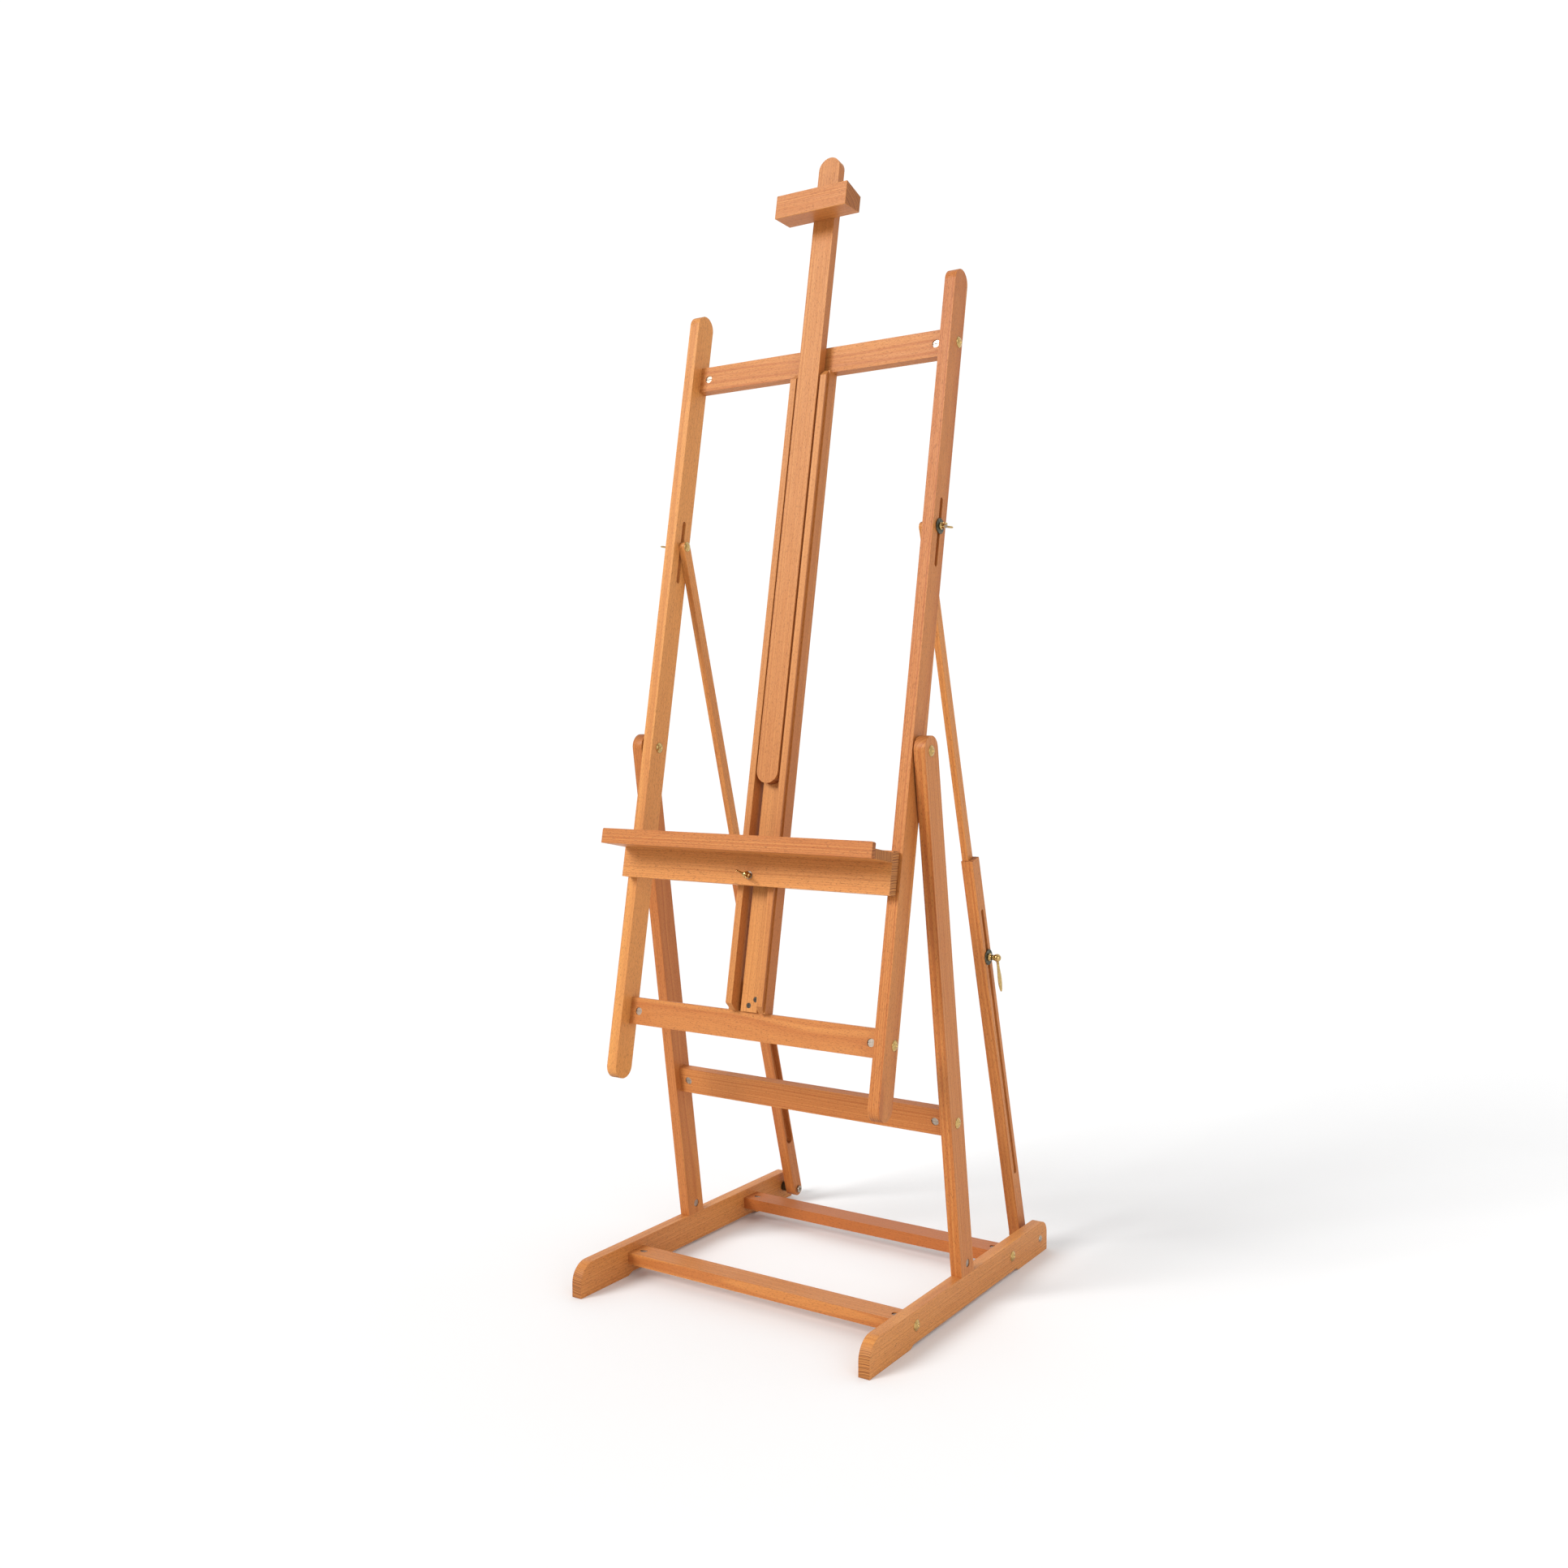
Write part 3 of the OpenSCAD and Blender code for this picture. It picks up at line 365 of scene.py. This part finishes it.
def board(node, number, radius):
    """A planed beech piece: eased arrises, and grain running along its length."""
    bm = solid_of(node)
    by_length = sorted(bm.edges, key=lambda e: -e.calc_length())
    along = run_of(by_length[0])
    if along.x + along.z < 0:
        along = -along
    across = next(run_of(e) for e in by_length if abs(run_of(e).dot(along)) < 0.03)
    across = (across - along * across.dot(along)).normalized()
    third = along.cross(across)
    low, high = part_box(node)
    middle = (low + high) / 2
    # where the pith lies from the board's middle, and where along the trunk the board was cut
    turn = 0.12 if node in QUARTER_SAWN else number * GOLDEN_TURN
    reach = 0.055 + 0.02 * (number * 7 % 5)
    pith = (reach * math.cos(turn), reach * math.sin(turn), 3.1 * number)
    round_over(bm, radius)
    grain = bm.verts.layers.float_vector.new("grain")
    end = bm.faces.layers.float.new("end_grain")
    tone = bm.faces.layers.float.new("tone")
    for vert in bm.verts:
        p = vert.co - middle
        vert[grain] = (p.dot(across) + pith[0], p.dot(third) + pith[1], p.dot(along) + pith[2])
    for face in bm.faces:
        face.normal_update()
        face[end] = max(0.0, (abs(face.normal.dot(along)) - 0.55) / 0.45)
        face[tone] = TONE.get(node, OTHER_TONE)
        # the X-facing sides get painted shade, and painted light where the value is negative
        if abs(face.normal.x) > 0.9:
            face[tone] += SIDE_PAINTED_LIGHT_AND_SHADE.get(node, 0.0)
    place_piece(bm, node + "_wood", node)


def small_metal(node, radius):
    """A turned or stamped metal piece, kept at its own shape with its edges broken."""
    bm = solid_of(node)
    round_over(bm, radius)
    place_piece(bm, node + "_metal", node)


def boxes_of_solids(node):
    """Lowest and highest corner of each separate solid in a node."""
    bm = solid_of(node)
    done, found = set(), []
    for vert in bm.verts:
        if vert not in done:
            solid = joined_to([vert])
            done.update(solid)
            xs, ys, zs = zip(*(v.co for v in solid))
            found.append((Vector((min(xs), min(ys), min(zs))),
                          Vector((max(xs), max(ys), max(zs)))))
    bm.free()
    return sorted(found, key=lambda b: tuple(round(c, 4) for c in b[0]))


def frame_matrix(at, axis, side):
    """Local z along axis, local x along side, at a point."""
    axis = axis.normalized()
    side = (side - axis * side.dot(axis)).normalized()
    third = axis.cross(side)
    m = Matrix((side, third, axis)).transposed().to_4x4()
    m.translation = at
    return m


def turned(bm, profile, matrix, steps=36):
    """Spins a profile of (radius, height) points about local z and sets it in place."""
    verts = [bm.verts.new((r, 0, h)) for r, h in profile]
    edges = [bm.edges.new(pair) for pair in zip(verts, verts[1:])]
    bmesh.ops.spin(bm, geom=verts + edges, cent=(0, 0, 0), axis=(0, 0, 1), dvec=(0, 0, 0),
                   angle=math.tau, steps=steps, use_merge=True, use_duplicate=False)
    spun = joined_to(verts)
    bmesh.ops.remove_doubles(bm, verts=spun, dist=1e-6)
    spun = [v for v in spun if v.is_valid]
    faces = faces_at(spun)
    bmesh.ops.recalc_face_normals(bm, faces=faces)
    bmesh.ops.transform(bm, matrix=matrix, verts=spun)
    for face in faces:
        face.smooth = True


def dome_profile(d, h, keyed):
    """Points of a shallow dome of diameter d and height h, from its rim to its socket or tip."""
    rows = 8
    ball = (h * h + d * d / 4) / (2 * h)
    rim = 0.12 * h
    top = math.asin(min(1.0, (d / 2 - 0.15 * MM) / ball))
    clear = SOCKET + 0.7 * MM if keyed else 0.0
    points = [(d / 2 - 0.25 * MM, 0.0), (d / 2, 0.2 * MM), (d / 2, rim)]
    for i in range(rows + 1):
        a = top * (1 - i / rows)
        r = ball * math.sin(a)
        z = h - ball + ball * math.cos(a)
        if r > clear and z > rim:
            points.append((r, z))
    if keyed:
        lip = SOCKET + 0.4 * MM
        return points + [(lip, h - ball + math.sqrt(ball * ball - lip * lip))]
    if points[-1][0] < 0.1 * MM:
        points.pop()
    return points + [(0.0, h)]


def key_socket(bm, matrix, height):
    """Closes the open ring at the top of a dome with a six-sided key socket."""
    inverse = matrix.inverted()
    ring = []
    for edge in bm.edges:
        if edge.is_boundary:
            spots = [inverse @ v.co for v in edge.verts]
            if all(abs(p.z - height) < 0.6 * MM and math.hypot(p.x, p.y) < SOCKET + MM
                   for p in spots):
                ring.append(edge)
    made = bmesh.ops.create_circle(bm, cap_ends=False, segments=6, radius=SOCKET,
                                   matrix=matrix @ Matrix.Translation((0, 0, height - 0.15 * MM)))
    mouth = edges_at(made["verts"])
    bmesh.ops.bridge_loops(bm, edges=ring + mouth)
    walls = bmesh.ops.extrude_edge_only(bm, edges=mouth)["geom"]
    bottom = [v for v in walls if isinstance(v, bmesh.types.BMVert)]
    axis = (matrix.to_3x3() @ Vector((0, 0, 1))).normalized()
    bmesh.ops.translate(bm, vec=-axis * SOCKET_DEPTH, verts=bottom)
    bmesh.ops.edgeloop_fill(bm, edges=[e for e in walls if isinstance(e, bmesh.types.BMEdge)])


def domed_bolts(node, head_d, head_h, head_side, both_ends=False, keyed=True):
    """Through bolts along X with a smooth domed head; head_side is 1 for outwards, -1 inwards."""
    bm = bmesh.new()
    dome = dome_profile(head_d, head_h, keyed)
    for low, high in boxes_of_solids(node):
        side = 1 if low.x + high.x > 0 else -1
        out = side * head_side
        near, far = (high.x, low.x) if out > 0 else (low.x, high.x)
        at = Vector((near - out * head_h, (low.y + high.y) / 2, (low.z + high.z) / 2))
        length = abs(near - far) - head_h * (2 if both_ends else 1)
        matrix = frame_matrix(at, RIGHT * out, back_easel)
        if both_ends:
            start = [(r, -length - z) for r, z in reversed(dome)] + [(SHANK, -length)]
        else:
            start = [(0.0, -length), (SHANK - 0.5 * MM, -length), (SHANK, -length + 0.5 * MM)]
        turned(bm, start + [(SHANK, 0.0)] + dome, matrix)
        if keyed:
            key_socket(bm, matrix, dome[-1][1])
        if both_ends:
            other = frame_matrix(at - RIGHT * out * length, -RIGHT * out, back_easel)
            key_socket(bm, other, dome[-1][1])
    bmesh.ops.recalc_face_normals(bm, faces=bm.faces)
    place_piece(bm, node + "_domed", node)


def loft(bm, stations, segments=20):
    """A closed skin through ovals: centre, half width, half thickness, and the way of each."""
    loops = []
    for centre, half_w, half_t, way_w, way_t in stations:
        m = Matrix((way_w * half_w, way_t * half_t, way_w.cross(way_t))).transposed().to_4x4()
        m.translation = centre
        ring = bmesh.ops.create_circle(bm, cap_ends=False, segments=segments, radius=1.0, matrix=m)
        loops.append(edges_at(ring["verts"]))
    for a, b in zip(loops, loops[1:]):
        made = bmesh.ops.bridge_loops(bm, edges=a + b)
        for face in made["faces"]:
            face.smooth = True
    for loop in (loops[0], loops[-1]):
        for face in bmesh.ops.edgeloop_fill(bm, edges=loop)["faces"]:
            face.smooth = True
    verts = [v for loop in loops for e in loop for v in e.verts]
    bmesh.ops.recalc_face_normals(bm, faces=faces_at(verts))


# one leaf wing: share of its length, half width and half thickness in mm
LEAF = ((0.0, 2.4, 1.9), (0.22, 2.3, 1.8), (0.38, 3.2, 1.6), (0.55, 4.6, 1.45),
        (0.72, 5.2, 1.35), (0.88, 4.7, 1.3), (0.99, 3.2, 1.1), (1.04, 1.2, 0.7))
# the turned hub: a foot ring, a waist and a rounded crown, as radius and height in mm
HUB = ((0.0, 0.0), (5.6, 0.0), (6.0, 0.35), (6.0, 1.6), (5.5, 2.0), (4.7, 2.7), (4.4, 4.2),
       (4.5, 7.0), (4.2, 8.2), (3.2, 9.0), (0.0, 9.4))
WING_HEIGHT = 19 * MM   # from the hub's foot to the wings' tips

BALL = 7                # radius of the lever's ball, mm
LEVER_HUB = ((0, 0), (6.8, 0), (7, 0.25), (7, 1.7), (6.6, 2.1), (5.0, 2.5), (4.7, 3.2), (4.7, 7.6),
             (5.1, 8.0), (5.1, 9.0), (4.3, 9.6))
# the lever's paddle: distance from the ball's centre, half width and half thickness in mm
PADDLE = ((4.5, 3.2, 2.6), (8, 2.7, 2.4), (13, 2.6, 2.3), (20, 3.3, 2.3), (28, 4.9, 2.4),
          (36, 6.4, 2.4), (43, 6.9, 2.4), (50, 6.6, 2.3), (56, 5.4, 2.1), (61, 3.9, 1.9),
          (64.5, 2.4, 1.5), (65.8, 0.9, 0.8))


def wing_pair(bm, at, axis, span_way):
    """Two oval leaf wings that rise along axis from a hub that stands at that point."""
    thick_way = axis.cross(span_way).normalized()
    for side in (1, -1):
        way = span_way * side
        root = at + axis * 4.6 * MM + way * 2.0 * MM
        tip = at + axis * 15.2 * MM + way * 13.4 * MM
        run = (tip - root).normalized()
        wide = run.cross(thick_way).normalized()
        reach = (tip - root).length
        loft(bm, [(root + run * reach * t, w * MM, k * MM, wide, thick_way) for t, w, k in LEAF])


def rod(radius, start, stop):
    """A rod's profile along its axis, with both rims broken."""
    soft = 0.3 * MM
    return [(0.0, start), (radius - soft, start), (radius, start + soft), (radius, stop - soft),
            (radius - soft, stop), (0.0, stop)]


def wing_fitting(node, turn_joint, axis, span_way, rods=()):
    """A wing nut, or a wing screw when it has rods: (radius, from, to) in mm along axis."""
    on_line = Vector(joint[turn_joint]["pos_m"])
    tip = max(v.co.dot(axis) for v in frame["nodes"][node].data.vertices)
    foot = on_line + axis * (tip - WING_HEIGHT - on_line.dot(axis))
    matrix = frame_matrix(foot, axis, span_way)
    bm = bmesh.new()
    turned(bm, [(r * MM, h * MM) for r, h in HUB], matrix)
    for radius, start, stop in rods:
        turned(bm, rod(radius * MM, start * MM, stop * MM), matrix, 28)
    wing_pair(bm, foot, axis, span_way)
    place_piece(bm, node + "_wings", node)


def clamp_lever(side, out):
    """A turned hub and ball with a flat paddle that hangs down along the strut."""
    node = "clamp_lever_" + side
    low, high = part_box(node)
    start_x, stop_x = (low.x, high.x) if out.x > 0 else (high.x, low.x)
    pivot = Vector(joint["strut_lever_" + side]["pos_m"])
    foot = Vector((start_x, pivot.y, pivot.z))
    ball_at = abs(stop_x - start_x) - BALL * MM
    neck = ball_at / MM - 3
    bm = bmesh.new()
    turned(bm, [(r * MM, h * MM) for r, h in LEVER_HUB + ((4.1, neck), (0, neck))],
           frame_matrix(foot, out, back_easel))
    ball = foot + out * ball_at
    turned(bm, [(BALL * MM * math.sin(math.pi * i / 18), -BALL * MM * math.cos(math.pi * i / 18))
                for i in range(19)], frame_matrix(ball, out, back_easel))
    wide = out.cross(down_strut).normalized()
    loft(bm, [(ball + down_strut * d * MM, w * MM, k * MM, wide, out) for d, w, k in PADDLE], 28)
    place_piece(bm, node + "_ball_lever", node)


# --------------------------------------------------------------- wooden parts

wooden = [n for n in sorted(slot_of_node) if slot_of_node[n].startswith("beech")]
for number, node in enumerate(wooden):
    small = node in ("channel_dowels", "mast_runners")
    board(node, number, 0.4 * MM if small else 0.9 * MM)

# -------------------------------------------------------------- plain fittings

for node in ("base_barrel_nuts", "frame_barrel_nuts", "shelf_insert"):
    small_metal(node, 0.35 * MM)
for node in ("tilt_washers", "strut_spacers", "clamp_washer_left", "clamp_washer_right",
             "slot_washer_left", "slot_washer_right"):
    small_metal(node, 0.4 * MM)
for node in ("channel_screws", "mast_screws", "shelf_screws", "leg_foot_bolts",
             "strut_foot_bolts", "slot_stud_left", "slot_stud_right"):
    small_metal(node, 0.25 * MM)

# ---------------------------------------------------------------- domed bolts

domed_bolts("base_bolts", 19 * MM, 4 * MM, 1)
domed_bolts("frame_bolts", 19 * MM, 4 * MM, 1)
domed_bolts("tilt_bolts", 19 * MM, 4 * MM, 1, both_ends=True)
for node in ("strut_bolts_left", "strut_bolts_right"):
    domed_bolts(node, 18 * MM, 3.5 * MM, -1, keyed=False)

# ---------------------------------------- wing nuts, wing screws and clamp levers

for side, out in (("left", -RIGHT), ("right", RIGHT)):
    wing_fitting("wing_nut_" + side, "wing_turn_" + side, out, back_easel)
# the shelf's wings were left a little off level; its screw has a shank, a collar and a pad
off_level = math.radians(25)
wing_fitting("shelf_wing_screw", "shelf_lock_turn", -back_easel,
             RIGHT * math.cos(off_level) - up_easel * math.sin(off_level),
             ((4, -45, 0.5), (8, -32.5, -30.5), (9.9, -46.8, -44.5)))
wing_fitting("mast_lock_screw", "mast_lock_turn", back_easel, RIGHT, ((4, -9.9, 0.5),))
for side, out in (("left", -RIGHT), ("right", RIGHT)):
    clamp_lever(side, out)

# ---------------------------------------------------------------------- stage

floor = bmesh.new()
bmesh.ops.create_grid(floor, x_segments=1, y_segments=1, size=14.0)
floor_mesh = bpy.data.meshes.new("floor")
floor.to_mesh(floor_mesh)
floor.free()
floor_piece = bpy.data.objects.new("floor", floor_mesh)
floor_piece.location.z = cad_box[0][2] - 0.0002
bpy.context.scene.collection.objects.link(floor_piece)
pale, _, pale_shader = finish("floor_pale")
pale_shader.inputs["Base Color"].default_value = (0.86, 0.86, 0.86, 1)
pale_shader.inputs["Roughness"].default_value = 0.9
floor_mesh.materials.append(pale)

world = bpy.data.worlds.new("studio")
world.use_nodes = True
sky = world.node_tree
soft = sky.nodes["Background"]
soft.inputs["Color"].default_value = (1, 1, 1, 1)
# the room is bright behind the easel and dim on the painter's side; the backdrop is plain white
seen = put(sky, "LightPath").outputs["Is Camera Ray"]
looking = put(sky, "TexCoord").outputs["Generated"]
back = put(sky, "SeparateXYZ", {0: looking}).outputs[1]
room = ramp(sky, back, -0.6, 0.5, 0.35, 1.05)
sky.links.new(put(sky, "Mix", {0: seen, 2: room, 3: 1.05}, data_type="FLOAT").outputs[0],
              soft.inputs["Strength"])
bpy.context.scene.world = world
bpy.context.scene.view_settings.view_transform = "Standard"


def studio_lamp(name, location, strength, spread):
    lamp = bpy.data.lights.new(name, "SUN")
    lamp.energy = strength
    lamp.angle = math.radians(spread)
    obj = bpy.data.objects.new(name, lamp)
    obj.location = location
    obj.rotation_euler = (Vector((0, 0, 1)) - Vector(location)).to_track_quat("-Z", "Y").to_euler()
    bpy.context.scene.collection.objects.link(obj)


studio_lamp("key", (-2.2, -4.6, 4.2), 2.5, 24)
studio_lamp("fill", (4.5, -3.0, 2.6), 0.7, 40)

camera = bpy.data.cameras.new("camera")
camera.sensor_width = 36.0
camera.lens = 33.99
eye = bpy.data.objects.new("camera", camera)
eye.location = (1.41478, -2.25651, 1.01103)
eye.rotation_euler = (Matrix.Rotation(math.radians(33.43), 3, "Z")
                      @ Matrix.Rotation(math.radians(90 - 2.56), 3, "X")
                      @ Matrix.Rotation(math.radians(-0.16), 3, "Z")).to_euler()
bpy.context.scene.collection.objects.link(eye)
bpy.context.scene.camera = eye
